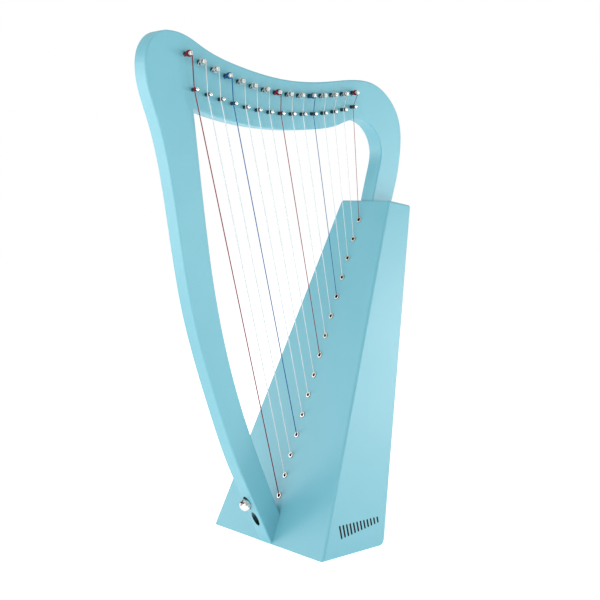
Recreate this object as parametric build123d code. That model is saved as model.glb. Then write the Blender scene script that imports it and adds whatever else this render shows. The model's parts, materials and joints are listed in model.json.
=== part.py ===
"""A fifteen-string celtic lap harp: a painted frame board, a wedge-shaped sound box, pins and strings.

Millimetres, +Z up. The drawing frame has X = 0 at the soundboard's bottom front edge, with the pillar
towards -X and the sound box towards +X, the board's middle plane at Y = 0, the pins on the -Y side and
Z = 0 on the table. Everything is moved along X at the end, so that the origin of the written parts is
the bottom centre of the whole harp.
"""

from build123d import *
import math
import os

# ---------------------------------------------------------------- driving dimensions
STRINGS = 15

# Sound box. Slope distances run up the soundboard from its bottom edge.
LEAN_DEG = 21.34  # the soundboard's lean back from upright
BOARD_LENGTH = 429.4  # up the slope of the soundboard
WIDTH_BOTTOM = 204.7
WIDTH_TOP = 85.9
DEPTH_BOTTOM = 99.1  # along X, at the table
TOP_BACK = (194.4, 393.6)  # X and Z of the top back edge
SOUNDBOARD_T = 4.0
BACK_T = 4.0
SIDE_T = 8.0
BASE_T = 10.0
TOP_BLOCK_T = 22.0
RIB_WIDTH = 24.0
RIB_T = 4.0
RIB_GAP = 1.0  # from the foot block to the rib
LINING = 7.0
BRACE_WIDTH = 10.0
BRACE_DEPTH = 9.0
BRACE_HEIGHTS = (152.0, 262.0)
LONG_EDGE_R = 2.5
TOP_EDGE_R = 3.0
BACK_FOOT_R = 8.0

# Sound and stringing holes in the back: height of the centre, half width, half height.
BACK_HOLES = ((92.0, 30.0, 40.0), (207.0, 24.0, 33.0), (312.0, 17.0, 25.0))

# Frame board: pillar, neck and shoulder.
FRAME_T = 22.0
FRAME_EDGE_R = 1.6
TENON_DEPTH = 14.0
TENON_T = 14.0
TENON_TOP = TOP_BACK[1] + 3  # the level that the tenon's depth is measured from
TENON_END_GAP = 1.0
TENON_HEIGHT = 24.0
TENON_X = (166.0, 186.0)
DOWEL_R = 4.0
DOWEL_LENGTH = 24.0
DOWEL_END_GAP = 0.5
GLUE_GAP = 0.05

# String holes in the soundboard.
FIRST_HOLE = 56.5  # slope distance of the first, lowest hole
HOLE_PITCH = 24.81
FERRULE_BARREL_R = 2.6
FERRULE_HOLE_R = 1.7
FERRULE_FLANGE_R = 3.5
FERRULE_FLANGE_T = 0.8
FERRULE_FLANGE_ROUND = 0.5
LIP_GAP = 0.05  # between a string and the ferrule's bore
KNOT_R = 2.4
STRING_HOLES = [FIRST_HOLE + i * HOLE_PITCH for i in range(STRINGS)]

# Strings: thickest first.
LONGEST_STRING_D = 1.2
SHORTEST_STRING_D = 0.6
MOUTH_RISE = 0.6  # how far over the ferrule a string bends, as a share of its radius
GROOVE_GAP = 0.02

# Both rows of pins: the first step along X, and how much the steps close up.
TUNING_PITCH = 17.6
TUNING_CLOSING = 0.034
BRIDGE_PITCH = 17.51
BRIDGE_CLOSING = 0.0816

# Tuning pins: a round body that turns in the neck, and a square end for the tuning key.
PIN_R = 2.6
PIN_CLEARANCE = 0.04
PIN_IN = 19.5
PIN_HOLE_DEPTH = 20.0
PIN_ROUND_OUT = 9.2
PIN_SQUARE_OUT = 2.6
PIN_SQUARE = 4.2
PIN_SQUARE_ROUND = 0.7
PIN_SQUARE_TAPER_DEG = 1.5
PIN_END_CHAMFER = 0.4
PIN_NECK_CONE = 1.2
WINDING_OUT = 8.2  # from the board's face to where the string leaves the winding
WINDING_GAP = 0.12
STRING_HOLE_OUT = 6.2
STRING_HOLE_R = 0.75

# Bridge pins: a grooved pin that sets each string's sounding length.
BRIDGE_R = 2.1
BRIDGE_IN = 14.0
BRIDGE_OUT = 10.0
GROOVE_OUT = 6.0
GROOVE_R = 1.5
GROOVE_HALF_WIDTH = 1.1
BRIDGE_ROUND = 1.1
BRIDGE_TAIL_CHAMFER = 0.5
BRIDGE_HOLE_CLEARANCE = 0.02
BRIDGE_HOLE_EXTRA = 0.3

# Screws that hold the pillar's foot against the soundboard, sloping down into the foot block.
SCREW_SLOPE_DEG = 30.0
UPPER_SCREW_AT = (-22.7, 2.5, 46.5)  # where the axis meets the pillar's front edge
LOWER_SCREW_AT = (-15.0, 0.0, 30.7)
UPPER_HEAD_R = 7.3
UPPER_HEAD_H = 8.8
UPPER_SEAT_OUT = 3.4  # the seat of the head, outwards along the axis from the front edge
UPPER_SHANK_R = 2.5
UPPER_SHANK = 68.0
LOWER_HEAD_R = 4.2
LOWER_HEAD_H = 3.4
LOWER_SEAT_IN = 12.0
LOWER_SHANK_R = 2.0
LOWER_SHANK = 27.0
COUNTERBORE_R = 5.4
HEAD_POCKET_GAP = 0.3
HEAD_RIM = 0.38  # height of the head's upright rim, as a share of the head's height
RECESS_LENGTH = 1.1  # the cross recess, as shares of the head's radius and height
RECESS_WIDTH = 0.2
RECESS_DEPTH = 0.9
TIP_R = 0.4
FOOT_BLOCK_TOP = 50.0  # slope distance
FOOT_BLOCK_DEPTH = 34.0
FOOT_BLOCK_HALF_WIDTH = 28.0

FAR = 400.0  # longer than anything that it cuts
PAST = 5.0  # how far a cutter runs past a face

RUN_ON = 60.0  # how far a sloping cutter runs on beyond the ends of the sound box

# ---------------------------------------------------------------- places that follow from them
SIN = math.sin(math.radians(LEAN_DEG))
COS = math.cos(math.radians(LEAN_DEG))
TOP_FRONT = (BOARD_LENGTH * SIN, BOARD_LENGTH * COS)
HALF_T = FRAME_T / 2
FACE_Y = -HALF_T
# The soundboard's plane: local x runs to -Y, local y up the slope, and local z out of the board.
SOUNDBOARD_PLANE = Plane(origin=(0, 0, 0), x_dir=(0, -1, 0), z_dir=(-COS, 0, SIN))


def half_width(slope):
    """Half of the sound box's width at a distance up the slope."""
    return (WIDTH_BOTTOM + (WIDTH_TOP - WIDTH_BOTTOM) * slope / BOARD_LENGTH) / 2


def on_board(slope, out=0.0, y=0.0):
    """A point over the soundboard, from its slope distance, height over its face and Y."""
    return Vector(slope * SIN - out * COS, y, slope * COS + out * SIN)


def upright(points, half_y=FAR):
    """A prism along Y, over a polygon of X and Z."""
    wire = Polyline(*[Vector(x, 0, z) for x, z in points], close=True)
    return extrude(Face(Wire(wire.edges())), amount=half_y, dir=(0, 1, 0), both=True)


def over_board(inset, out_low, out_high, low=-RUN_ON, high=BOARD_LENGTH + RUN_ON):
    """A block as wide as the sound box less an inset, between two heights over the soundboard."""
    outline = Polyline(
        (-half_width(low) + inset, low),
        (half_width(low) - inset, low),
        (half_width(high) - inset, high),
        (-half_width(high) + inset, high),
        close=True,
    )
    start = SOUNDBOARD_PLANE.offset(out_low)
    return extrude(start * make_face(outline.edges()), amount=out_high - out_low)


def rod(start, end, radius):
    """A round rod from one point to another."""
    along = end - start
    return Solid.make_cylinder(radius, along.length, Plane(origin=start, z_dir=along.normalized()))


def spline(points, *ends):
    """A smooth curve through points of X and Z, with its two end directions where they matter."""
    through = [Vector(x, 0, z) for x, z in points]
    directions = [Vector(x, 0, z) for x, z in ends]
    return Spline(*through, tangents=directions)


# ---------------------------------------------------------------- sound box
def envelope():
    """The outside of the sound box as one rounded block, which every panel is cut from."""
    corners = [(0, 0), (DEPTH_BOTTOM, 0), TOP_BACK, TOP_FRONT]
    outline = Polyline(*[Vector(x, 0, z) for x, z in corners], close=True)
    profile = extrude(Face(Wire(outline.edges())), amount=WIDTH_BOTTOM, dir=(0, 1, 0), both=True)
    across = profile.edges().filter_by(Axis.Y)
    back_foot = [e for e in across if e.center().X > 0 and e.center().Z < 1]
    profile = fillet(back_foot, BACK_FOOT_R)
    across = profile.edges().filter_by(Axis.Y)
    top_pair = [e for e in across if e.center().Z > TOP_BACK[1] - 1]
    profile = fillet(top_pair, TOP_EDGE_R)
    block = profile & over_board(0, -FAR, PAST)
    side_faces = [f for f in block.faces() if abs(f.normal_at().Y) > 0.9]
    rims = [e for f in side_faces for e in f.edges()]
    return fillet(rims, LONG_EDGE_R)


def from_back(depth_low, depth_high):
    """The layer of the sound box between two depths in from the back's outer face."""
    run = Vector(TOP_BACK[0] - DEPTH_BOTTOM, 0, TOP_BACK[1]).normalized()
    inwards = Vector(-run.Z, 0, run.X)
    low = Vector(DEPTH_BOTTOM, 0, 0) - run * RUN_ON
    high = Vector(TOP_BACK[0], 0, TOP_BACK[1]) + run * RUN_ON
    corners = [low + inwards * depth_low, high + inwards * depth_low]
    corners += [high + inwards * depth_high, low + inwards * depth_high]
    return upright([(c.X, c.Z) for c in corners])


def below_top(depth):
    """Everything that is lower than a depth under the sloping top."""
    fall = Vector(TOP_BACK[0] - TOP_FRONT[0], 0, TOP_BACK[1] - TOP_FRONT[1]).normalized()
    down = Vector(fall.Z, 0, -fall.X)
    front = Vector(TOP_FRONT[0], 0, TOP_FRONT[1]) + down * depth - fall * FAR
    back = Vector(TOP_BACK[0], 0, TOP_BACK[1]) + down * depth + fall * FAR
    return upright([(front.X, front.Z), (back.X, back.Z), (back.X, -FAR), (front.X, -FAR)])


def back_hole(height, half_w, half_h):
    """An oval cutter through the back, square to it."""
    share = height / TOP_BACK[1]
    centre = Vector(DEPTH_BOTTOM + (TOP_BACK[0] - DEPTH_BOTTOM) * share, 0, height)
    run = Vector(TOP_BACK[0] - DEPTH_BOTTOM, 0, TOP_BACK[1]).normalized()
    plane = Plane(origin=centre, x_dir=(0, 1, 0), z_dir=(run.Z, 0, -run.X))
    return extrude(plane * Ellipse(half_w, half_h), amount=BACK_T + PAST, both=True)


def sound_box(screws):
    """The panels, blocks, rib, braces and linings of the sound box, by name."""
    outside = envelope()
    front = over_board(-PAST, -SOUNDBOARD_T, PAST)
    back = from_back(-PAST, BACK_T)
    between_sides = over_board(SIDE_T, -FAR, PAST)
    middle = outside - front - back
    low = upright([(-FAR, -PAST), (FAR, -PAST), (FAR, BASE_T), (-FAR, BASE_T)])
    inner = middle & between_sides
    cavity = (inner - low) & below_top(TOP_BLOCK_T)
    sides = middle - between_sides
    near = Pos(0, -FAR / 2, FAR / 2) * Box(FAR * 2, FAR, FAR * 2)

    soundboard = outside & front
    behind = -SOUNDBOARD_T
    rib = cavity & over_board(0, behind - RIB_T, behind, FOOT_BLOCK_TOP + RIB_GAP, BOARD_LENGTH)
    rib = rib & Pos(0, 0, FAR / 2) * Box(FAR * 2, RIB_WIDTH, FAR * 2)
    for slope in STRING_HOLES:
        inner_end = on_board(slope, behind - RIB_T - PAST)
        outer_end = on_board(slope, PAST)
        soundboard -= rod(inner_end, outer_end, FERRULE_BARREL_R + GLUE_GAP)
        rib -= rod(inner_end, outer_end, FERRULE_HOLE_R)
    foot_block = cavity & over_board(0, behind - FOOT_BLOCK_DEPTH, behind, -RUN_ON, FOOT_BLOCK_TOP)
    foot_block = foot_block & Box(FAR, FOOT_BLOCK_HALF_WIDTH * 2, FAR)

    edge_strip = cavity - over_board(SIDE_T + LINING, -FAR, PAST)
    front_linings = edge_strip & over_board(-PAST, behind - LINING, behind)
    back_linings = edge_strip & from_back(BACK_T, BACK_T + LINING)
    brace_layer = (cavity & from_back(BACK_T, BACK_T + BRACE_DEPTH)) - back_linings
    braces = []
    for height in BRACE_HEIGHTS:
        band = Pos(0, 0, height) * Box(FAR * 2, FAR * 2, BRACE_WIDTH)
        braces += (brace_layer & band).solids()

    back_panel = outside & back
    for hole in BACK_HOLES:
        back_panel -= back_hole(*hole)

    top_block = inner - below_top(TOP_BLOCK_T) - tenon_block(GLUE_GAP, TENON_DEPTH + TENON_END_GAP)
    for cutter in screws:
        soundboard -= cutter
        foot_block -= cutter
    return {
        "soundboard": [soundboard],
        "side_panel_near": [sides & near],
        "side_panel_far": [sides - near],
        "back_panel": [back_panel],
        "base_board": [inner & low],
        "top_block": [top_block],
        "string_rib": [rib],
        "foot_block": [foot_block],
        "soundboard_linings": front_linings.solids(),
        "back_linings": back_linings.solids(),
        "back_braces": braces,
    }


# ---------------------------------------------------------------- frame board
def tenon_block(gap, depth):
    """The tenon under the shoulder, down to a depth and wider all round by a gap."""
    size = (TENON_X[1] - TENON_X[0] + 2 * gap, TENON_T + 2 * gap, TENON_HEIGHT)
    return Pos(sum(TENON_X) / 2, 0, TENON_TOP - depth + TENON_HEIGHT / 2) * Box(*size)


def frame_outline():
    """The closed outline of the whole frame board, run on past the sound box that it is trimmed to."""
    foot = (16, -32.75)  # on the pillar's straight front edge, below the table
    pillar_front = [(-42, 86), (-73, 163.5), (-110, 283), (-131.5, 404), (-152, 488), (-166, 543)]
    ear = [(-166, 543), (-158.5, 568.5), (-136, 579.6)]
    neck_top = [(-136, 579.6), (-90, 564), (-40, 547.5), (41.4, 536.6), (96, 540.2), (138, 543.9)]
    shoulder_back = [(138, 543.9), (178, 532), (200.6, 506.3), (207.3, 473), (203.2, 438.5), (190, 392)]
    shoulder_end = (180, 360)
    inner_end = (150, 366)
    shoulder_front = [(158, 396), (168.4, 434), (173.2, 461), (160, 487.5), (136, 497.2)]
    neck_under = [(136, 497.2), (102, 488.8), (60, 482.4), (0, 481.6), (-60, 488.4), (-105.3, 499.5)]
    pillar_back = [(-105.3, 499.5), (-92.3, 394), (-77, 294.5), (-54, 201.6), (-21.3, 111.7), (10, 40)]
    inner_foot = (30, -5.8)
    up = (0, 1)
    right = (1, 0)
    left = (-1, 0)
    corners = [(pillar_back[-1], inner_foot), (inner_foot, foot), (foot, pillar_front[0])]
    corners += [(shoulder_back[-1], shoulder_end), (shoulder_end, inner_end), (inner_end, shoulder_front[0])]
    edges = [Line(Vector(a[0], 0, a[1]), Vector(b[0], 0, b[1])) for a, b in corners]
    edges += [
        spline(pillar_front, (-0.44, 0.9), up),
        spline(ear, up, right),
        spline(neck_top, right, right),
        spline(shoulder_back, right, (-10, -32)),
        spline(shoulder_front, (8, 30), left),
        spline(neck_under, left, (-45, 13.5)),
        spline(pillar_back, (12, -100), (20, -45.8)),
    ]
    return Wire(edges)


def frame_boards(pins, cutters):
    """Pillar, neck and shoulder: one outline, parted along two glued seams, with its dowels."""
    board = extrude(Face(frame_outline()), amount=HALF_T, dir=(0, 1, 0), both=True)
    rims = [e for e in board.edges() if abs(abs(e.center().Y) - HALF_T) < 0.01]
    board = fillet(rims, FRAME_EDGE_R)
    fall = (TOP_BACK[1] - TOP_FRONT[1]) / (TOP_BACK[0] - TOP_FRONT[0])
    past_back = (FAR, TOP_BACK[1] + fall * (FAR - TOP_BACK[0]))
    board = board - upright([(-FAR, -FAR), (FAR, -FAR), past_back, TOP_FRONT, (0, 0), (-FAR, 0)])
    for cutter in pins:
        board -= cutter

    # The seams: pillar to neck at the inner corner, and neck to shoulder past the last pins.
    pillar_zone = upright([(-FAR, 507), (-105.3, 499.5), (-60, 420), (60, 0), (60, -FAR), (-FAR, -FAR)])
    shoulder_zone = upright([(141, 300), (FAR, 300), (FAR, FAR * 2), (141, FAR * 2)])
    pillar = board & pillar_zone
    shoulder = board & shoulder_zone
    neck = board - pillar_zone - shoulder_zone

    dowel_axes = [((-122, 502), (0, 1)), ((-143, 505), (0, 1)), ((141, 507), (1, 0)), ((141, 530), (1, 0))]
    dowels = []
    for (x, z), (dx, dz) in dowel_axes:
        reach = Vector(dx, 0, dz) * (DOWEL_LENGTH / 2)
        seat = Vector(dx, 0, dz) * (DOWEL_LENGTH / 2 + DOWEL_END_GAP)
        middle = Vector(x, 0, z)
        dowels.append(rod(middle - reach, middle + reach, DOWEL_R))
        hole = rod(middle - seat, middle + seat, DOWEL_R + GLUE_GAP)
        pillar -= hole
        neck -= hole
        shoulder -= hole

    shoulder = shoulder + tenon_block(0, TENON_DEPTH)
    for cutter in cutters:
        pillar -= cutter
    return {"pillar": [pillar], "neck": [neck], "shoulder": [shoulder], "frame_dowels": dowels}


# ---------------------------------------------------------------- screws in the foot
def screw_axis():
    """The direction in which both foot screws are driven."""
    slope = math.radians(SCREW_SLOPE_DEG)
    return Vector(math.cos(slope), 0, -math.sin(slope))


def recessed_head(seat, radius, height):
    """A domed screw head on its seat, with a cross recess in its top."""
    axis = screw_axis()
    plane = Plane(origin=seat, x_dir=(0, 1, 0), z_dir=-axis)
    rim = height * HEAD_RIM
    crown = (height**2 - 2 * height * rim + rim**2 + radius**2) / (2 * (height - rim))
    dome = Pos(0, 0, height - crown) * Sphere(crown)
    head = Solid.make_cylinder(radius, height) & dome
    long_way = radius * RECESS_LENGTH
    across = radius * RECESS_WIDTH
    deep = height * RECESS_DEPTH
    head -= Pos(0, 0, height) * (Box(long_way, across, deep) + Box(across, long_way, deep))
    return plane * head


def foot_screw(seat, head_r, head_h, shank_r, shank):
    """One screw: its head, its shank and its pointed tip."""
    axis = screw_axis()
    tip_length = shank_r * 2
    shoulder = seat + axis * (shank - tip_length)
    body = rod(seat, shoulder, shank_r)
    tip = Solid.make_cone(shank_r, TIP_R, tip_length, Plane(origin=shoulder, z_dir=axis))
    return recessed_head(seat, head_r, head_h) + body + tip


def screw_parts():
    """Both foot screws and the holes that they need."""
    axis = screw_axis()
    upper_seat = Vector(*UPPER_SCREW_AT) - axis * UPPER_SEAT_OUT
    lower_seat = Vector(*LOWER_SCREW_AT) + axis * LOWER_SEAT_IN
    upper = foot_screw(upper_seat, UPPER_HEAD_R, UPPER_HEAD_H, UPPER_SHANK_R, UPPER_SHANK)
    lower = foot_screw(lower_seat, LOWER_HEAD_R, LOWER_HEAD_H, LOWER_SHANK_R, LOWER_SHANK)
    holes = [rod(upper_seat, upper_seat + axis * (UPPER_SHANK + 1), UPPER_SHANK_R + GLUE_GAP)]
    holes += [rod(upper_seat, upper_seat - axis * RUN_ON, UPPER_HEAD_R + HEAD_POCKET_GAP)]
    holes += [rod(lower_seat, lower_seat + axis * (LOWER_SHANK + 1), LOWER_SHANK_R + GLUE_GAP)]
    holes += [rod(lower_seat, lower_seat - axis * RUN_ON, COUNTERBORE_R)]
    return {"foot_screw_upper": [upper], "foot_screw_lower": [lower]}, holes


# ---------------------------------------------------------------- pins and strings
def point_at(curve, x):
    """The point of a curve that runs towards +X where it passes a given X."""
    low = 0.0
    high = 1.0
    while high - low > 1e-6:
        share = (low + high) / 2
        if (curve @ share).X < x:
            low = share
        else:
            high = share
    return curve @ low


def pin_row(points, pitch, closing):
    """A row of pins on a curve, each step along X shorter than the last by twice the closing."""
    curve = spline(points)
    return [point_at(curve, points[0][0] + pitch * i - closing * i**2) for i in range(STRINGS)]


def pin_rows():
    """Where each tuning pin and each bridge pin stands on the neck, thickest string first."""
    tuning_line = [(-115.8, 555.9), (-63, 535.8), (-10.7, 523.8), (40, 520.2), (90, 523.4), (125, 528)]
    bridge_line = [(-106.5, 518.8), (-54.7, 506.6), (-3.5, 499.4), (28.8, 498.8), (76, 501.8), (123, 511.3)]
    tuning_row = pin_row(tuning_line, TUNING_PITCH, TUNING_CLOSING)
    return tuning_row, pin_row(bridge_line, BRIDGE_PITCH, BRIDGE_CLOSING)


def pin_hole(centre, depth, radius):
    """The hole for a pin, from in front of the neck's near face to a depth in it."""
    mouth = Vector(centre.X, FACE_Y - PAST, centre.Z)
    bottom = Vector(centre.X, FACE_Y + depth, centre.Z)
    return rod(mouth, bottom, radius)


def tuning_pin(centre):
    """A tuning pin, its axis along Y: a round body with a string hole, and a square tapered end."""
    tail = Vector(centre.X, FACE_Y + PIN_IN, centre.Z)
    shoulder = Vector(centre.X, FACE_Y - PIN_ROUND_OUT, centre.Z)
    body = rod(tail, shoulder, PIN_R)
    out = Plane(origin=shoulder, x_dir=(1, 0, 0), z_dir=(0, -1, 0))
    section = RectangleRounded(PIN_SQUARE, PIN_SQUARE, PIN_SQUARE_ROUND)
    square = extrude(out * section, amount=PIN_SQUARE_OUT, taper=PIN_SQUARE_TAPER_DEG)
    square = square.chamfer(PIN_END_CHAMFER, None, square.edges().group_by(Axis.Y)[0])
    neck_cone = Solid.make_cone(PIN_R, PIN_SQUARE / 2, PIN_NECK_CONE, out)
    hole_middle = Vector(centre.X, FACE_Y - STRING_HOLE_OUT, centre.Z)
    reach = Vector(PIN_R + PAST, 0, 0)
    hole = rod(hole_middle - reach, hole_middle + reach, STRING_HOLE_R)
    return (body + square + neck_cone) - hole


def bridge_pin(centre):
    """A bridge pin, its axis along Y, with a round groove for the string and a rounded end."""
    end = BRIDGE_OUT
    groove_low = GROOVE_OUT - GROOVE_HALF_WIDTH
    groove_high = GROOVE_OUT + GROOVE_HALF_WIDTH
    tail_r = BRIDGE_R - BRIDGE_TAIL_CHAMFER
    tail_up = BRIDGE_TAIL_CHAMFER - BRIDGE_IN
    outline = [
        Line((0, -BRIDGE_IN), (tail_r, -BRIDGE_IN)),
        Line((tail_r, -BRIDGE_IN), (BRIDGE_R, tail_up)),
        Line((BRIDGE_R, tail_up), (BRIDGE_R, groove_low)),
        ThreePointArc((BRIDGE_R, groove_low), (GROOVE_R, GROOVE_OUT), (BRIDGE_R, groove_high)),
        Line((BRIDGE_R, groove_high), (BRIDGE_R, end - BRIDGE_ROUND)),
        CenterArc((BRIDGE_R - BRIDGE_ROUND, end - BRIDGE_ROUND), BRIDGE_ROUND, 0, 90),
        Line((BRIDGE_R - BRIDGE_ROUND, end), (0, end)),
        Line((0, end), (0, -BRIDGE_IN)),
    ]
    turned = revolve(make_face(outline), Axis.Y)
    return Pos(centre.X, FACE_Y, centre.Z) * (Rot(180, 0, 0) * turned)


def ferrule(slope):
    """A flanged eyelet that lines a string hole in the soundboard."""
    flange = rod(on_board(slope, 0), on_board(slope, FERRULE_FLANGE_T), FERRULE_FLANGE_R)
    outer_rim = flange.edges().sort_by(Axis((0, 0, 0), (-COS, 0, SIN)))[-1]
    flange = flange.fillet(FERRULE_FLANGE_ROUND, [outer_rim])
    barrel = rod(on_board(slope, -SOUNDBOARD_T), on_board(slope, 0), FERRULE_BARREL_R)
    bore = rod(on_board(slope, -SOUNDBOARD_T - PAST), on_board(slope, PAST), FERRULE_HOLE_R)
    return flange + barrel - bore


def string_diameter(i):
    """The strings get thinner evenly from the longest to the shortest."""
    return LONGEST_STRING_D + (SHORTEST_STRING_D - LONGEST_STRING_D) * i / (STRINGS - 1)


def string_route(i, tuning, bridge):
    """The points that a string runs through: winding, bridge pin, soundboard, knot."""
    radius = string_diameter(i) / 2
    touch = STRING_HOLES[i] + FERRULE_HOLE_R - radius - LIP_GAP
    mouth = on_board(touch, FERRULE_FLANGE_T + radius * MOUTH_RISE)
    knot = on_board(touch, -SOUNDBOARD_T - RIB_T - KNOT_R)
    upper = Vector(bridge.X - tuning.X - PIN_R - GROOVE_R, 0, bridge.Z - tuning.Z).normalized()
    lower = Vector(mouth.X - bridge.X, 0, mouth.Z - bridge.Z).normalized()
    side = (upper - lower).normalized()
    wound = Vector(-upper.Z, 0, upper.X)
    start = Vector(tuning.X, FACE_Y - WINDING_OUT, tuning.Z) + wound * (PIN_R + radius + WINDING_GAP)
    groove = Vector(bridge.X, FACE_Y - GROOVE_OUT, bridge.Z) + side * (GROOVE_R + radius + GROOVE_GAP)
    return [start, groove, mouth, knot]


def string_solid(i, tuning, bridge):
    """A string and the knot on its lower end, as one solid."""
    radius = string_diameter(i) / 2
    route = string_route(i, tuning, bridge)
    solid = Pos(*route[-1]) * Sphere(KNOT_R)
    for start, end in zip(route, route[1:]):
        solid += rod(start, end, radius)
    for corner in route[1:-1]:
        solid += Pos(*corner) * Sphere(radius)
    return solid


def main():
    """Builds every part, moves the origin to the bottom centre and writes one STEP file per part."""
    tuning_row, bridge_row = pin_rows()
    cutters = [pin_hole(centre, PIN_HOLE_DEPTH, PIN_R + PIN_CLEARANCE) for centre in tuning_row]
    bridge_depth = BRIDGE_IN + BRIDGE_HOLE_EXTRA
    cutters += [pin_hole(centre, bridge_depth, BRIDGE_R + BRIDGE_HOLE_CLEARANCE) for centre in bridge_row]
    screws, screw_holes = screw_parts()
    parts = {}
    parts.update(sound_box(screw_holes))
    parts.update(frame_boards(cutters, screw_holes))
    parts.update(screws)
    parts["string_ferrules"] = [ferrule(slope) for slope in STRING_HOLES]
    parts["bridge_pins"] = [bridge_pin(bridge) for bridge in bridge_row]
    for i, (tuning, bridge) in enumerate(zip(tuning_row, bridge_row)):
        parts[f"tuning_pin_{i + 1:02d}"] = [tuning_pin(tuning)]
        parts[f"string_{i + 1:02d}"] = [string_solid(i, tuning, bridge)]

    box = Compound(children=[s for solids in parts.values() for part in solids for s in part.solids()])
    middle = box.bounding_box().center().X
    os.makedirs("parts", exist_ok=True)
    for name, pieces in parts.items():
        solids = [Pos(-middle, 0, 0) * s for piece in pieces for s in piece.solids()]
        whole = solids[0] if len(solids) == 1 else Compound(children=solids)
        export_step(whole, f"parts/{name}.step")
    print(f"{len(parts)} parts, moved {-middle:.2f} along X")


main()
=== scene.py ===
import json
import math

import bmesh
import bpy
from mathutils import Matrix, Vector


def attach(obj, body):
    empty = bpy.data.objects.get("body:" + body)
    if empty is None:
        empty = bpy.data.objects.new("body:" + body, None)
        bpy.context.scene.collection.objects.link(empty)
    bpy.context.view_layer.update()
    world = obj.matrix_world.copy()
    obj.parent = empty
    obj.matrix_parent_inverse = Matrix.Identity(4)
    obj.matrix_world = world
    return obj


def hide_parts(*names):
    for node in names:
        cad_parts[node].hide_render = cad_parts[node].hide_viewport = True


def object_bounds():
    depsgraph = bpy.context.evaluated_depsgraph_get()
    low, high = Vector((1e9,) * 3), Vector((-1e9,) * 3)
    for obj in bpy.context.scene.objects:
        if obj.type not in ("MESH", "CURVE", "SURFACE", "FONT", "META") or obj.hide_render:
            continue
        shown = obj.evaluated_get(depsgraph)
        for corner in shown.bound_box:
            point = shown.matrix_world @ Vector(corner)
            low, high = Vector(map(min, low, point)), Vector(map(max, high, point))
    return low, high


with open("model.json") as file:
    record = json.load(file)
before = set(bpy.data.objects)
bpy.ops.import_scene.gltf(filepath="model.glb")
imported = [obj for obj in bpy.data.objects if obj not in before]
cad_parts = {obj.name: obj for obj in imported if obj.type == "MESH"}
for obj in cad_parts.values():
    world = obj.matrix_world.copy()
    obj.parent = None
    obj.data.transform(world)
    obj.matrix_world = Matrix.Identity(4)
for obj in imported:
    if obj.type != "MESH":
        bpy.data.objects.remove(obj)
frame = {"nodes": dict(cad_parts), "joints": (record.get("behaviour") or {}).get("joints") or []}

CAD_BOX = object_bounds()
NODES = frame["nodes"]
MM = 0.001

# ---------------------------------------------------------------- sizes of the harp, in millimetres
# Lengths here match the CAD part. Its drawing frame has X = 0 at the soundboard's bottom front edge,
# which lies this far from the row frame's origin.
DRAWING_X = -20.66
STRINGS = 15
LEAN = math.radians(21.34)
BOARD_LENGTH = 429.4
WIDTH_BOTTOM = 204.7
WIDTH_TOP = 85.9
DEPTH_BOTTOM = 99.1
TOP_BACK = (194.4, 393.6)
SOUNDBOARD_T = 4.0
RIB_T = 4.0
FACE_Y = -11.0  # the frame board's near face
FIRST_HOLE = 56.5
HOLE_PITCH = 24.81
FERRULE_HOLE_R = 1.7
FERRULE_FLANGE_T = 0.8
PIN_R = 2.6
PIN_ROUND_OUT = 9.2
WINDING_OUT = 8.2
STRING_HOLE_OUT = 6.2
GROOVE_R = 1.5
GROOVE_OUT = 6.0
BRIDGE_OUT = 10.0
SCREW_SLOPE = math.radians(30)
SCREW_AXIS = Vector((math.cos(SCREW_SLOPE), 0, -math.sin(SCREW_SLOPE)))
SCREW_HOLES = (((-22.7, 2.5, 46.5), 7.6), ((-15.0, 0, 30.7), 5.4))  # a point of each axis, and the radius
RECESS_RADII = (5.6, 3.2)  # the cross recess of each screw's head
LIP_GAP = 0.05  # between a string and the ferrule's bore
MOUTH_RISE = 0.6  # how far over the ferrule a string bends, as a share of its radius
GROOVE_GAP = 0.02
LONGEST_STRING_D = 1.2
SHORTEST_STRING_D = 0.6
KNOT_R = 2.4
RED_STRINGS = (0, 7, 14)
BLUE_STRINGS = (3, 10)

# The printed motif: a row of bars of falling height.
MOTIF_AT = (27.0, 0, 8.5)  # X and Z of the first bar's foot
MOTIF_TILT_DEG = 7.0
MOTIF_BARS = 12
MOTIF_HEIGHT = 13.0
MOTIF_FALL = 0.62  # how much lower the last bar is, as a share of the height
MOTIF_PITCH = 5.5
MOTIF_BAR = 2.5
MOTIF_SUNK = 0.05
MOTIF_PROUD = 0.06

# The box's finish, in metres.
PAINT_REACH = 1.0 * MM  # how far in from the outer planes the paint reaches, over the rounded edges
PLY_T = 1.33 * MM
GLUE_LINE = 0.35 * MM

# The studio, in metres.
FLOOR_HALF = 6.0
FLOOR_GLOW = 0.56  # light through the floor, as on a light table
ROOM_LIGHT = 0.53
SOFT_BOXES = (  # name, direction from the harp, distance, size, radiance
    ("soft_left", (-0.95, -0.28, 0.12), 1.5, 1.1, 1.7),
    ("soft_right", (0.794, -0.608, 0.01), 1.86, 0.5, 9.5),
    ("key", (0.30, -0.95, 0.10), 1.9, 0.13, 40.0),
    ("soft_behind", (-0.55, 0.83, 0.05), 1.7, 0.9, 2.5),
    ("overhead", (0.0, 0.1, 1.0), 1.9, 2.0, 1.15),
)
CAMERA_AT = (-843.4, -1071.8, 406.1)
CAMERA_YAW_DEG = 39.894
CAMERA_PITCH_DEG = 5.046
CAMERA_LENS = 71.18

SIN = math.sin(LEAN)
COS = math.cos(LEAN)
TOP_FRONT = (BOARD_LENGTH * SIN, BOARD_LENGTH * COS)


def row(x, y, z):
    """A point of the drawing frame as a vector in the row frame, in metres."""
    return Vector((x + DRAWING_X, y, z)) * MM


def on_board(slope, out=0.0, y=0.0):
    """A point over the soundboard, from its slope distance, height over its face and Y."""
    return row(slope * SIN - out * COS, y, slope * COS + out * SIN)


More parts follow.
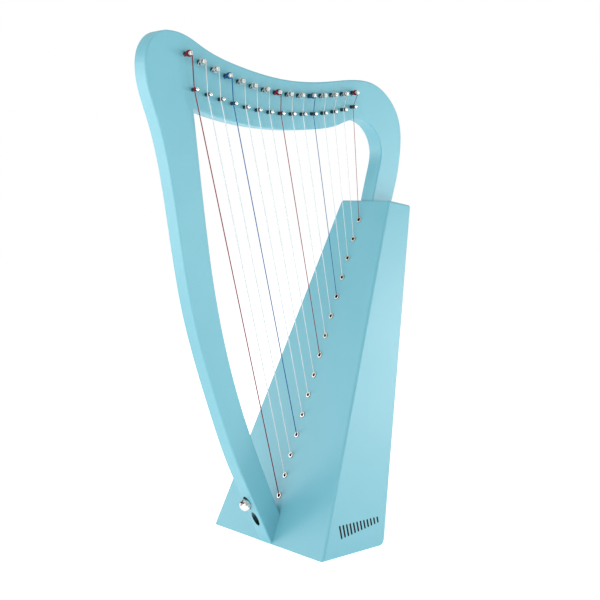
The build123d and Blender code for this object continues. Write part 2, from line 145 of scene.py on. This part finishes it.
# ---------------------------------------------------------------- colours and finishes
PAINT = (0.149, 0.440, 0.529)
PAINT_DEEP = (0.140, 0.424, 0.515)
PAINT_PALE = (0.159, 0.457, 0.545)
BARE_PALE = (0.66, 0.49, 0.31)
BARE_DEEP = (0.50, 0.34, 0.19)
STRING_COLOURS = {
    "string_red": (0.23, 0.001, 0.020),
    "string_blue": (0.001, 0.105, 0.31),
    # The clear strings' pale aqua tint is painted: it stands in for the aqua paint seen through the clear
    # nylon.
    "string_clear": (0.69, 0.765, 0.775),
}


class Finish:
    """One node material, with short calls for the nodes that it is made of."""

    def __init__(self, name):
        self.material = bpy.data.materials.new(name)
        self.material.use_nodes = True
        self.tree = self.material.node_tree
        self.shader = self.tree.nodes["Principled BSDF"]
        self.place = self.add("ShaderNodeTexCoord").outputs["Object"]

    def add(self, kind, inputs=(), **settings):
        """A new node, with its settings and with a value or a link for each input."""
        node = self.tree.nodes.new(kind)
        for key, value in settings.items():
            setattr(node, key, value)
        for key, value in inputs:
            self.put(node.inputs[key], value)
        return node

    def put(self, socket, value):
        """Links a socket to another one, or gives it a value."""
        if isinstance(value, bpy.types.NodeSocket):
            self.tree.links.new(value, socket)
        else:
            socket.default_value = value

    def set(self, **values):
        """Sets the main shader's sockets: base_color becomes Base Color, and so on."""
        for key, value in values.items():
            self.put(self.shader.inputs[key.replace("_", " ").title().replace("Ior", "IOR")], value)

    def math(self, operation, a, b=0.0, c=0.0):
        """The result of one Math node."""
        node = self.add("ShaderNodeMath", [(0, a), (1, b), (2, c)], operation=operation)
        return node.outputs[0]

    def dot(self, direction):
        """The distance along a direction, in metres, from the row frame's origin."""
        inputs = [(0, self.place), (1, direction)]
        vector = self.add("ShaderNodeVectorMath", inputs, operation="DOT_PRODUCT")
        return vector.outputs["Value"]

    def from_axis(self, centre):
        """The distance in metres from the screw axis that passes through a point."""
        ends = [(0, self.place), (1, row(*centre))]
        offset = self.add("ShaderNodeVectorMath", ends, operation="SUBTRACT")
        inputs = [(0, offset.outputs[0]), (1, SCREW_AXIS)]
        across = self.add("ShaderNodeVectorMath", inputs, operation="CROSS_PRODUCT")
        length = self.add("ShaderNodeVectorMath", [(0, across.outputs[0])], operation="LENGTH")
        return length.outputs["Value"]

    def along_or_across(self, axis):
        """1 where a face looks along an axis or squarely away from it, as a hole's own faces do."""
        normal = self.add("ShaderNodeNewGeometry").outputs["True Normal"]
        facing = self.add("ShaderNodeVectorMath", [(0, normal), (1, axis)], operation="DOT_PRODUCT")
        slant = self.math("ABSOLUTE", facing.outputs["Value"])
        across = self.math("LESS_THAN", slant, 0.15)
        along = self.math("GREATER_THAN", slant, 0.985)
        return self.math("MAXIMUM", across, along)

    def stretched(self, scale, turn_deg=0.0):
        """Object coordinates turned about Y and then scaled, for grain and brush marks."""
        turning = [("Vector", self.place), ("Axis", (0, 1, 0)), ("Angle", math.radians(turn_deg))]
        turned = self.add("ShaderNodeVectorRotate", turning)
        scaling = [(0, turned.outputs[0]), (1, scale)]
        return self.add("ShaderNodeVectorMath", scaling, operation="MULTIPLY").outputs[0]

    def noise(self, place, scale, detail=2.0, roughness=0.5, distortion=0.0):
        """Noise from 0 to 1, with its scale per metre."""
        inputs = [("Vector", place), ("Scale", scale), ("Detail", detail)]
        inputs += [("Roughness", roughness), ("Distortion", distortion)]
        return self.add("ShaderNodeTexNoise", inputs).outputs[0]

    def spread(self, value, low, high, from_low=0.3, from_high=0.7):
        """A value's range moved to another range, and held inside it."""
        inputs = [(0, value), (1, from_low), (2, from_high), (3, low), (4, high)]
        return self.add("ShaderNodeMapRange", inputs).outputs[0]

    def mix(self, share, a, b):
        """A colour between two colours."""
        colours = [(*c, 1.0) if isinstance(c, tuple) else c for c in (a, b)]
        inputs = [(0, share), (6, colours[0]), (7, colours[1])]
        return self.add("ShaderNodeMix", inputs, data_type="RGBA").outputs[2]

    def bumped(self, height, distance, under=None):
        """A bump of a real height in metres, over another bump where one is given."""
        inputs = [("Height", height), ("Distance", distance)]
        if under is not None:
            inputs.append(("Normal", under))
        return self.add("ShaderNodeBump", inputs).outputs[0]


def paint_layers(f, grain_deg):
    """Satin paint, sprayed over board: its colour, roughness and bump."""
    grain = f.stretched((14, 700, 700), grain_deg)
    streaks = f.noise(grain, 1.0, detail=3, roughness=0.6)
    clouds = f.noise(f.place, 11, detail=3)
    peel = f.noise(f.place, 750, detail=1)
    specks = f.noise(f.place, 2300, detail=0)
    colour = f.mix(f.spread(clouds, 0, 1), PAINT_DEEP, PAINT_PALE)
    colour = f.mix(f.spread(streaks, 0, 0.35), colour, PAINT)
    colour = f.mix(f.spread(specks, 0, 0.12, 0.62, 0.8), colour, (0.32, 0.62, 0.70))
    f.set(specular_ior_level=0.7)
    roughness = f.spread(f.math("ADD", clouds, f.math("MULTIPLY", peel, 0.6)), 0.36, 0.45, 0.5, 1.1)
    bump = f.bumped(streaks, 0.000012)
    bump = f.bumped(peel, 0.000010, bump)
    return colour, roughness, bump


def wood_layers(f, grain_deg):
    """Bare, sanded wood: its colour, roughness and bump."""
    grain = f.stretched((9, 260, 260), grain_deg)
    rings = f.noise(grain, 1.0, detail=4, roughness=0.55, distortion=0.6)
    pores = f.noise(f.stretched((60, 2600, 2600), grain_deg), 1.0, detail=2)
    clouds = f.noise(f.place, 25, detail=2)
    colour = f.mix(f.spread(rings, 0, 1, 0.35, 0.65), BARE_PALE, BARE_DEEP)
    colour = f.mix(f.spread(pores, 0, 0.5, 0.55, 0.75), colour, (0.36, 0.22, 0.11))
    colour = f.mix(f.spread(clouds, 0, 0.25), colour, (0.74, 0.58, 0.39))
    bump = f.bumped(f.math("ADD", rings, pores), 0.00003)
    return colour, f.spread(rings, 0.55, 0.7), bump


def finished(f, colour, roughness, bump, **more):
    """Sets what every finish has, and hands back its material."""
    f.set(base_color=colour, roughness=roughness, normal=bump, **more)
    return f.material


def frame_paint(name, grain_deg, screw_holes=()):
    """Paint all over a piece of the frame board, with painted shade inside its screw holes."""
    f = Finish(name)
    colour, roughness, bump = paint_layers(f, grain_deg)
    for centre, radius in screw_holes:
        # Painted shade: the walls and floor of each screw hole are coloured near-black teal, for the
        # shade down inside it.
        inside = f.math("LESS_THAN", f.from_axis(centre), (radius + 0.05) * MM)
        hole = f.math("MULTIPLY", inside, f.along_or_across(SCREW_AXIS))
        colour = f.mix(hole, colour, (0.008, 0.045, 0.055))
    return finished(f, colour, roughness, bump)


def screw_finish(name, centre, recess_radius):
    """Chrome plate, with painted shade down in the head's cross recess."""
    f = Finish(name)
    clouds = f.noise(f.place, 260, detail=3)
    scratches = f.noise(f.stretched((300, 3600, 3600), 35), 1.0, detail=2)
    chrome = f.mix(f.spread(clouds, 0, 1), (0.66, 0.63, 0.60), (0.86, 0.85, 0.84))
    # Painted shade: the faces of the cross recess are coloured dark brown and left not metallic, for the
    # shade down in it.
    inside = f.math("LESS_THAN", f.from_axis(centre), recess_radius * MM)
    recess = f.math("MULTIPLY", inside, f.along_or_across(SCREW_AXIS))
    colour = f.mix(recess, chrome, (0.10, 0.055, 0.045))
    rough = f.spread(f.math("ADD", clouds, scratches), 0.14, 0.26, 0.7, 1.3)
    return finished(f, colour, rough, f.bumped(clouds, 0.00012), metallic=f.math("SUBTRACT", 1.0, recess))


def bare_wood(name, grain_deg):
    """Bare wood all over a piece."""
    f = Finish(name)
    return finished(f, *wood_layers(f, grain_deg))


def box_planes():
    """The sound box's outer planes, as an outward normal and a distance in metres along it."""
    top_run = Vector((TOP_BACK[0] - TOP_FRONT[0], 0, TOP_BACK[1] - TOP_FRONT[1])).normalized()
    back_run = Vector((TOP_BACK[0] - DEPTH_BOTTOM, 0, TOP_BACK[1])).normalized()
    narrowing = (WIDTH_TOP - WIDTH_BOTTOM) / 2 / BOARD_LENGTH
    side = Vector((-narrowing * SIN, 1, -narrowing * COS)).normalized()
    normals = {
        "front": (Vector((-COS, 0, SIN)), row(0, 0, 0)),
        "back": (Vector((back_run.z, 0, -back_run.x)), row(DEPTH_BOTTOM, 0, 0)),
        "top": (Vector((-top_run.z, 0, top_run.x)), row(TOP_BACK[0], 0, TOP_BACK[1])),
        "foot": (Vector((0, 0, -1)), row(0, 0, 0)),
        "far": (side, row(0, WIDTH_BOTTOM / 2, 0)),
        "near": (Vector((side.x, -side.y, side.z)), row(0, -WIDTH_BOTTOM / 2, 0)),
    }
    return {name: (normal, normal.dot(point)) for name, (normal, point) in normals.items()}


PLANES = box_planes()


def box_paint(name, grain_deg, plies=None):
    """Paint on the outside of a sound box panel and bare wood inside, with ply lines on a cut edge."""
    f = Finish(name)
    outside = 0.0
    for normal, distance in PLANES.values():
        near = f.math("GREATER_THAN", f.dot(normal), distance - PAINT_REACH)
        outside = f.math("MAXIMUM", outside, near)
    colour, roughness, bump = paint_layers(f, grain_deg)
    bare, bare_roughness, bare_bump = wood_layers(f, grain_deg)
    if plies:
        normal, distance = PLANES[plies]
        depth = f.math("MULTIPLY", f.math("SUBTRACT", f.dot(normal), distance), 1 / PLY_T)
        band = f.math("GREATER_THAN", f.math("FRACT", depth), 0.5)
        bare = f.mix(f.math("MULTIPLY", band, 0.35), bare, (0.30, 0.18, 0.09))
    # The soundboard's glue line, a hair's breadth under the paint, shows on the sides of the box.
    normal, distance = PLANES["front"]
    behind = f.math("ABSOLUTE", f.math("ADD", f.dot(normal), SOUNDBOARD_T * MM - distance))
    line = f.spread(behind, 0.10, 0, 0, GLUE_LINE)
    colour = f.mix(line, colour, (0.10, 0.36, 0.45))
    painted_part = f.math("MULTIPLY", outside, roughness)
    bare_part = f.math("MULTIPLY", f.math("SUBTRACT", 1.0, outside), bare_roughness)
    mixed_roughness = f.math("ADD", painted_part, bare_part)
    return finished(f, f.mix(outside, bare, colour), mixed_roughness, f.mix(outside, bare_bump, bump))


def pin_finish(name, bright_from, groove=None):
    """Blued steel that stands out from the board along -Y, coloured dark teal as a painted reflection,
    with a bright tip, and a brownish band at the groove.
    """
    f = Finish(name)
    out = f.math("SUBTRACT", FACE_Y * MM, f.dot((0, 1, 0)))
    scratches = f.noise(f.stretched((900, 4200, 900)), 1.0, detail=2)
    clouds = f.noise(f.place, 300, detail=3)
    # Painted reflection: the body is coloured dark teal, for blued steel and for the dark surroundings
    # and the aqua paint reflected in it.
    blued_and_painted_reflection = f.mix(f.spread(clouds, 0, 1), (0.022, 0.050, 0.060), (0.050, 0.100, 0.115))
    bright = f.mix(f.spread(clouds, 0, 1), (0.74, 0.70, 0.64), (0.90, 0.89, 0.86))
    tip = f.spread(out, 0, 1, (bright_from - 0.15) * MM, (bright_from + 0.15) * MM)
    if groove:
        # The groove is coloured brownish.
        away = f.math("ABSOLUTE", f.math("SUBTRACT", out, groove * MM))
        groove_band = f.spread(away, 0.75, 0, 0.5 * MM, 1.1 * MM)
        blued_and_painted_reflection = f.mix(groove_band, blued_and_painted_reflection, (0.16, 0.12, 0.09))
    thread = f.math("SINE", f.math("MULTIPLY", out, 2 * math.pi / (0.35 * MM)))
    threaded = f.spread(out, 1, 0, 1.6 * MM, 2.4 * MM)
    bump = f.bumped(f.math("MULTIPLY", thread, threaded), 0.00004)
    bump = f.bumped(scratches, 0.00001, bump)
    roughness = f.math("ADD", f.spread(scratches, 0.22, 0.40), f.math("MULTIPLY", tip, -0.06))
    return finished(f, f.mix(tip, blued_and_painted_reflection, bright), roughness, bump, metallic=1.0)


def ferrule_finish():
    """Brass eyelets, tarnished, with painted shade inside their bores."""
    f = Finish("ferrule_brass")
    clouds = f.noise(f.place, 400, detail=3)
    normal, distance = PLANES["front"]
    out = f.math("SUBTRACT", f.dot(normal), distance)
    open_air = f.spread(out, 0, 1, 0.45 * MM, 0.7 * MM)
    brass = f.mix(f.spread(clouds, 0, 1), (0.72, 0.66, 0.56), (0.90, 0.86, 0.78))
    along = f.math("SUBTRACT", f.dot((SIN, 0, COS)), on_board(FIRST_HOLE).dot(Vector((SIN, 0, COS))))
    turns = f.math("ADD", f.math("MULTIPLY", along, 1 / (HOLE_PITCH * MM)), 0.5)
    offset = f.math("MULTIPLY", f.math("SUBTRACT", f.math("FRACT", turns), 0.5), HOLE_PITCH * MM)
    sideways = f.dot((0, 1, 0))
    squares = f.math("ADD", f.math("MULTIPLY", offset, offset), f.math("MULTIPLY", sideways, sideways))
    rim = f.spread(f.math("SQRT", squares), 0, 1, 2.1 * MM, 2.35 * MM)
    # Painted shade: inside a 2.1 mm radius round each hole, and lower than 0.45 mm over the soundboard,
    # the brass is coloured near-black, for the shade in the bore.
    colour = f.mix(f.math("MULTIPLY", open_air, rim), (0.010, 0.008, 0.007), brass)
    return finished(f, colour, f.spread(clouds, 0.28, 0.42), f.bumped(clouds, 0.00001), metallic=1.0)


def string_finish(slot, wound=False):
    """Polished nylon: even colour with faint mottling. Clear string shows its pin where it is wound."""
    f = Finish(f"{slot}_wound" if wound else slot)
    if wound and slot == "string_clear":
        f.set(alpha=0.45)
    colour = STRING_COLOURS[slot]
    mottle = f.noise(f.place, 180, detail=2)
    marks = f.noise(f.stretched((2500, 2500, 300)), 1.0, detail=1)
    deep = tuple(c * 0.86 for c in colour)
    mixed = f.mix(f.spread(mottle, 0, 1), deep, colour)
    f.set(specular_ior_level=0.22)
    return finished(f, mixed, f.spread(marks, 0.16, 0.26), f.bumped(marks, 0.000006))


def ink_finish(name):
    """Matt printed ink."""
    f = Finish(name)
    patches = f.noise(f.place, 900, detail=3)
    colour = f.mix(f.spread(patches, 0, 1), (0.003, 0.005, 0.008), (0.010, 0.013, 0.017))
    f.set(specular_ior_level=0.12)
    return finished(f, colour, f.spread(patches, 0.42, 0.58), f.bumped(patches, 0.00001))


# ---------------------------------------------------------------- mesh helpers
def add_piece(name, vertices, faces, material, body, slot):
    """A smooth-shaded mesh piece that rides on a CAD body."""
    mesh = bpy.data.meshes.new(name)
    mesh.from_pydata([tuple(v) for v in vertices], [], faces)
    mesh.polygons.foreach_set("use_smooth", [True] * len(mesh.polygons))
    mesh.materials.append(material)
    mesh.validate()
    piece = bpy.data.objects.new(name, mesh)
    bpy.context.collection.objects.link(piece)
    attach(piece, body)
    return piece


def tube(paths, radius, sides=12):
    """Round tubes along open paths, with closed ends, or along a closed path given as (points, True)."""
    vertices = []
    faces = []
    for points, closed in paths:
        points = [Vector(p) for p in points]
        count = len(points)
        first = len(vertices)
        side = None
        for i, point in enumerate(points):
            before = points[i - 1] if closed or i else point
            after = points[(i + 1) % count] if closed or i < count - 1 else point
            along = (after - before).normalized()
            if side is None:
                side = along.orthogonal()
            side = (side - along * side.dot(along)).normalized()
            up = along.cross(side)
            for k in range(sides):
                turn = 2 * math.pi * k / sides
                vertices.append(point + (side * math.cos(turn) + up * math.sin(turn)) * radius)
        rings = count if closed else count - 1
        for i in range(rings):
            here = first + i * sides
            there = first + (i + 1) % count * sides
            for k in range(sides):
                n = (k + 1) % sides
                faces.append((here + k, here + n, there + n, there + k))
        if not closed:
            last = first + (count - 1) * sides
            faces.append(tuple(first + k for k in reversed(range(sides))))
            faces.append(tuple(last + k for k in range(sides)))
    return vertices, faces


# ---------------------------------------------------------------- strings
def string_radius(i):
    """Half a string's diameter: the strings get thinner evenly."""
    return (LONGEST_STRING_D + (SHORTEST_STRING_D - LONGEST_STRING_D) * i / (STRINGS - 1)) / 2


def string_slot(i):
    """The material slot of a string: C strings red, F strings blue, the others clear."""
    if i in RED_STRINGS:
        return "string_red"
    if i in BLUE_STRINGS:
        return "string_blue"
    return "string_clear"


def flat(point):
    """X and Z of a point, as a vector in the frame board's plane."""
    return Vector((point.x, 0, point.z))


def pin_centre(i):
    """Where a tuning pin's axis meets the board's near face, from its joint."""
    joint = next(j for j in frame["joints"] if j["name"] == f"tuning_pin_{i + 1:02d}_turn")
    return Vector(joint["pos_m"])


def bridge_centres():
    """Where the bridge pins' axes meet the board's near face, from the gaps between them along X."""
    places = sorted(((v.co.x, v.co.z) for v in NODES["bridge_pins"].data.vertices))
    groups = [[places[0]]]
    for before, place in zip(places, places[1:]):
        if place[0] - before[0] > 5 * MM:
            groups.append([])
        groups[-1].append(place)
    centres = []
    for group in groups:
        xs = [p[0] for p in group]
        zs = [p[1] for p in group]
        centres.append(Vector(((min(xs) + max(xs)) / 2, FACE_Y * MM, (min(zs) + max(zs)) / 2)))
    return centres


def touching(point, centre, radius, side):
    """Where a straight line from a point touches a circle, on the given side of it, all in X and Z."""
    to_centre = flat(centre - point)
    length = to_centre.length
    along = to_centre / length
    across = Vector((-along.z, 0, along.x))
    if across.dot(side) < 0:
        across = -across
    back = radius * radius / length
    return flat(centre) - along * back + across * math.sqrt(radius * radius - back * back)


def arc(centre, start, end, steps):
    """Points on the short arc about a centre between two points, all in X and Z."""
    first = flat(start - centre)
    second = flat(end - centre)
    angle = math.atan2(first.cross(second).y, first.dot(second))
    turn = [Matrix.Rotation(angle * k / steps, 3, "Y") for k in range(steps + 1)]
    return [flat(centre) + t @ first for t in turn]


def bend(before, corner, after, reach, steps):
    """Points that round a corner of a path, within a reach of it."""
    start = corner + (before - corner).normalized() * reach
    end = corner + (after - corner).normalized() * reach
    points = []
    for k in range(steps + 1):
        t = k / steps
        points.append(start * (1 - t) ** 2 + corner * 2 * t * (1 - t) + end * t * t)
    return points


def string_path(i, tuning, bridge):
    """A string's centre line from its winding over the bridge pin to its knot, and its start angle."""
    radius = string_radius(i)
    slope = FIRST_HOLE + i * HOLE_PITCH
    lip = FERRULE_HOLE_R - radius - LIP_GAP
    mouth = on_board(slope + lip, FERRULE_FLANGE_T + radius * MOUTH_RISE)
    behind = -SOUNDBOARD_T - RIB_T
    exit_hole = on_board(slope + lip, behind)
    knot = on_board(slope + lip, behind - 2 * radius)
    wrap = (PIN_R + radius) * MM
    hook = (GROOVE_R + radius + GROOVE_GAP) * MM

    upper = (flat(bridge - tuning) - Vector((PIN_R + GROOVE_R, 0, 0)) * MM).normalized()
    lower = flat(mouth - bridge).normalized()
    side = (upper - lower).normalized()
    outer = Vector((-upper.z, 0, upper.x))
    groove_y = (FACE_Y - GROOVE_OUT) * MM
    start_y = (FACE_Y - WINDING_OUT) * MM

    # The upper run crosses from the pin's +X side to the bridge pin's side, touching both circles.
    start = flat(tuning) + outer * wrap
    for _ in range(6):
        high = touching(start, bridge, hook, side)
        start = touching(high, tuning, wrap, outer)
    low = touching(mouth, bridge, hook, side)
    turn = arc(bridge, high, low, 8)
    path = [start + Vector((0, start_y, 0))]
    path += [p + Vector((0, groove_y, 0)) for p in turn]
    path += bend(path[-1], mouth, exit_hole, 1.1 * MM, 5)
    path += [exit_hole, knot]
    angle = math.atan2(start.z - tuning.z, start.x - tuning.x)
    return path, angle


def knot_path(i, centre):
    """An overhand knot that lies against the rib, with its short cut tail."""
    radius = string_radius(i)
    size = (KNOT_R - radius) / 3 * MM
    out = Vector((-COS, 0, SIN))
    up = Vector((SIN, 0, COS))
    y = Vector((0, 1, 0))
    points = []
    for k in range(49):
        t = 2 * math.pi * k / 48 + 0.35
        u = math.sin(t) + 2 * math.sin(2 * t)
        v = math.cos(t) - 2 * math.cos(2 * t)
        w = -math.sin(3 * t) * 0.9
        points.append(centre + (up * u + y * v + out * w) * size)
    return points[:-1]


def add_strings():
    """Each string as one smooth piece with its knot, and each winding on its own tuning pin."""
    bridges = bridge_centres()
    finishes = {slot: string_finish(slot) for slot in STRING_COLOURS}
    wound_finishes = {slot: string_finish(slot, wound=True) for slot in STRING_COLOURS}
    for i, bridge in enumerate(bridges):
        tuning = pin_centre(i)
        radius = string_radius(i) * MM
        slot = string_slot(i)
        path, angle = string_path(i, tuning, bridge)
        knot_centre = path[-1]
        tail = [knot_centre, knot_centre + Vector((3.5, 1.5, -4.5)) * MM]
        shape = tube([(path, False), (knot_path(i, knot_centre), True), (tail, False)], radius)
        piece = add_piece(f"string_{i + 1:02d}_line", *shape, finishes[slot], "harp_body", slot)
        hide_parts(f"string_{i + 1:02d}")
        add_winding(i, tuning, angle, wound_finishes[slot], slot)


def add_winding(i, tuning, angle, finish, slot):
    """The turns of string on a tuning pin, through the pin's hole, and the cut tail."""
    radius = string_radius(i)
    around = PIN_R + radius

    def at(turn, out, far=around):
        x = tuning.x + far * MM * math.cos(turn)
        z = tuning.z + far * MM * math.sin(turn)
        return Vector((x, (FACE_Y - out) * MM, z))

    ring = [at(2 * math.pi * k / 40, WINDING_OUT) for k in range(40)]
    # From that last turn the string winds back towards the board, to the hole on the pin's -X side.
    run = STRING_HOLE_OUT - WINDING_OUT
    turns = max(1, round(abs(run) / (2.05 * radius)))
    last = math.pi + 2 * math.pi * turns
    steps = 40 * turns + 20
    coil = []
    for k in range(steps + 1):
        share = k / steps
        coil.append(at(angle + (last - angle) * share, WINDING_OUT + run * share))
    hole_y = (FACE_Y - STRING_HOLE_OUT) * MM
    through = [
        Vector((tuning.x - around * MM, hole_y, tuning.z)),
        Vector((tuning.x + (PIN_R + 0.5) * MM, hole_y, tuning.z)),
    ]
    tail_length = (2.2 + 0.7 * math.sin(2.3 * i)) * MM
    lean = 0.5 * math.sin(1.7 * i + 0.5)
    foot = Vector((tuning.x - around * MM, hole_y, tuning.z))
    tail = [
        foot,
        foot + Vector((-0.6, 0.2, -0.5)) * MM,
        foot + Vector((-0.9, 0.6, -1.2)) * MM,
        foot + Vector((-0.9, 0.8, -1.2)) * MM + Vector((lean * 0.3, 0.45, -1)) * tail_length,
    ]
    shape = tube([(ring, True), (coil, False), (through, False), (tail, False)], radius * MM, 10)
    add_piece(f"winding_{i + 1:02d}", *shape, finish, f"pin_{i + 1:02d}", slot)


# ---------------------------------------------------------------- printed motif
def add_motif():
    """A plain printed motif low on the near side: bars of falling length, like a row of strings."""
    normal, distance = PLANES["near"]
    up = (Vector((0, 0, 1)) - normal * normal.z).normalized()
    along = up.cross(normal)
    if along.x < 0:
        along = -along
    corner = row(*MOTIF_AT)
    corner = corner + normal * (distance - normal.dot(corner))
    tilt = Matrix.Rotation(math.radians(MOTIF_TILT_DEG), 3, normal)
    up = tilt @ up
    along = tilt @ along
    vertices = []
    faces = []
    for k in range(MOTIF_BARS):
        height = MOTIF_HEIGHT * (1 - MOTIF_FALL * k / (MOTIF_BARS - 1))
        centre = corner + along * (k * MOTIF_PITCH * MM)
        outline = []
        for step in range(17):
            turn = math.pi * step / 16
            outline.append((math.cos(turn) * MOTIF_BAR / 2, height + math.sin(turn) * MOTIF_BAR / 2))
        for step in range(17):
            turn = math.pi + math.pi * step / 16
            outline.append((math.cos(turn) * MOTIF_BAR / 2, math.sin(turn) * MOTIF_BAR / 2))
        first = len(vertices)
        count = len(outline)
        for lift in (-MOTIF_SUNK, MOTIF_PROUD):
            for u, v in outline:
                vertices.append(centre + along * (u * MM) + up * (v * MM) + normal * (lift * MM))
        faces.append(tuple(first + n for n in reversed(range(count))))
        faces.append(tuple(first + count + n for n in range(count)))
        for n in range(count):
            m = (n + 1) % count
            faces.append((first + n, first + m, first + count + m, first + count + n))
    piece = add_piece("side_motif", vertices, faces, ink_finish("motif_ink"), "harp_body", "aqua_paint")
    piece.data.polygons.foreach_set("use_smooth", [False] * len(piece.data.polygons))


# ---------------------------------------------------------------- CAD nodes
def dress(node, material):
    """Gives a CAD node its material."""
    slots = NODES[node].data.materials
    slots.clear()
    slots.append(material)


def dress_frame():
    """The CAD nodes that stay, each with its finish and its grain's direction, in degrees from X."""
    dress("pillar", frame_paint("paint_pillar", 100, SCREW_HOLES))
    dress("neck", frame_paint("paint_neck", -3))
    dress("shoulder", frame_paint("paint_shoulder", 80))
    dress("soundboard", box_paint("paint_soundboard", 68.7, plies="front"))
    dress("back_panel", box_paint("paint_back", 76.4, plies="back"))
    sides = box_paint("paint_sides", 70)
    for node in ("side_panel_near", "side_panel_far"):
        dress(node, sides)
    ends = box_paint("paint_ends", 0)
    for node in ("top_block", "base_board"):
        dress(node, ends)
    upright_wood = bare_wood("bare_wood_upright", 70)
    for node in ("string_rib", "foot_block", "soundboard_linings", "back_linings", "frame_dowels"):
        dress(node, upright_wood)
    dress("back_braces", bare_wood("bare_wood_cross", 0))
    dress("string_ferrules", ferrule_finish())
    screws = ("foot_screw_upper", "foot_screw_lower")
    for node, (centre, _), recess in zip(screws, SCREW_HOLES, RECESS_RADII):
        dress(node, screw_finish(f"chrome_{node}", centre, recess))
    pins = pin_finish("tuning_pin_steel", PIN_ROUND_OUT + 0.2)
    for i in range(STRINGS):
        dress(f"tuning_pin_{i + 1:02d}", pins)
    dress("bridge_pins", pin_finish("bridge_pin_steel", BRIDGE_OUT - 0.9, GROOVE_OUT))


# ---------------------------------------------------------------- studio
def add_camera():
    """The camera stands to the left of the harp and a little above its middle."""
    data = bpy.data.cameras.new("camera")
    data.sensor_width = 36
    data.lens = CAMERA_LENS
    camera = bpy.data.objects.new("camera", data)
    bpy.context.collection.objects.link(camera)
    camera.location = row(*CAMERA_AT)
    yaw = math.radians(CAMERA_YAW_DEG)
    pitch = math.radians(CAMERA_PITCH_DEG)
    forward = Vector((math.sin(yaw) * math.cos(pitch), math.cos(yaw) * math.cos(pitch), -math.sin(pitch)))
    camera.rotation_euler = forward.to_track_quat("-Z", "Y").to_euler()
    bpy.context.scene.camera = camera


def add_area(name, direction, distance, size, radiance):
    """A square soft light, aimed at the harp's middle from a direction, as bright as it looks."""
    data = bpy.data.lights.new(name, "AREA")
    data.size = size
    data.energy = radiance * math.pi * size * size
    light = bpy.data.objects.new(name, data)
    bpy.context.collection.objects.link(light)
    middle = (CAD_BOX[0] + CAD_BOX[1]) / 2
    light.location = middle + Vector(direction).normalized() * distance
    light.rotation_euler = (middle - light.location).to_track_quat("-Z", "Y").to_euler()


def stage_piece(name, mesh, material):
    """A piece of the studio, which is no part of the harp."""
    mesh.materials.append(material)
    piece = bpy.data.objects.new(name, mesh)
    bpy.context.collection.objects.link(piece)
    return piece


def add_floor():
    """A plain, almost white floor."""
    f = Finish("studio_floor")
    clouds = f.noise(f.place, 3, detail=3)
    colour = f.mix(f.spread(clouds, 0, 1), (0.95, 0.95, 0.95), (0.97, 0.97, 0.97))
    f.set(emission_color=(1, 1, 1, 1), emission_strength=FLOOR_GLOW)
    finished(f, colour, 0.9, f.bumped(clouds, 0.0001))
    mesh = bpy.data.meshes.new("floor")
    corners = [(-FLOOR_HALF, -FLOOR_HALF, 0), (FLOOR_HALF, -FLOOR_HALF, 0)]
    corners += [(FLOOR_HALF, FLOOR_HALF, 0), (-FLOOR_HALF, FLOOR_HALF, 0)]
    mesh.from_pydata(corners, [], [(0, 1, 2, 3)])
    stage_piece("floor", mesh, f.material)


def add_backdrop():
    """A white dome round the floor. It is only seen, so it neither lights the harp nor shades it."""
    material = bpy.data.materials.new("backdrop")
    material.use_nodes = True
    tree = material.node_tree
    tree.nodes.remove(tree.nodes["Principled BSDF"])
    glow = tree.nodes.new("ShaderNodeEmission")
    glow.inputs["Color"].default_value = (1, 1, 1, 1)
    tree.links.new(glow.outputs[0], tree.nodes["Material Output"].inputs["Surface"])
    shell = bmesh.new()
    bmesh.ops.create_icosphere(shell, subdivisions=4, radius=FLOOR_HALF * 1.4)
    mesh = bpy.data.meshes.new("backdrop")
    shell.to_mesh(mesh)
    shell.free()
    dome = stage_piece("backdrop", mesh, material)
    dome.visible_diffuse = False
    dome.visible_glossy = False
    dome.visible_transmission = False
    dome.visible_shadow = False


def add_studio():
    """Even white light all round, and soft boxes of several sizes."""
    world = bpy.data.worlds.new("studio")
    bpy.context.scene.world = world
    world.use_nodes = True
    world.node_tree.nodes["Background"].inputs["Color"].default_value = (1, 1, 1, 1)
    world.node_tree.nodes["Background"].inputs["Strength"].default_value = ROOM_LIGHT
    add_floor()
    add_backdrop()
    for soft_box in SOFT_BOXES:
        add_area(*soft_box)
    bpy.context.scene.view_settings.view_transform = "Standard"


add_camera()
add_studio()
dress_frame()
add_strings()
add_motif()
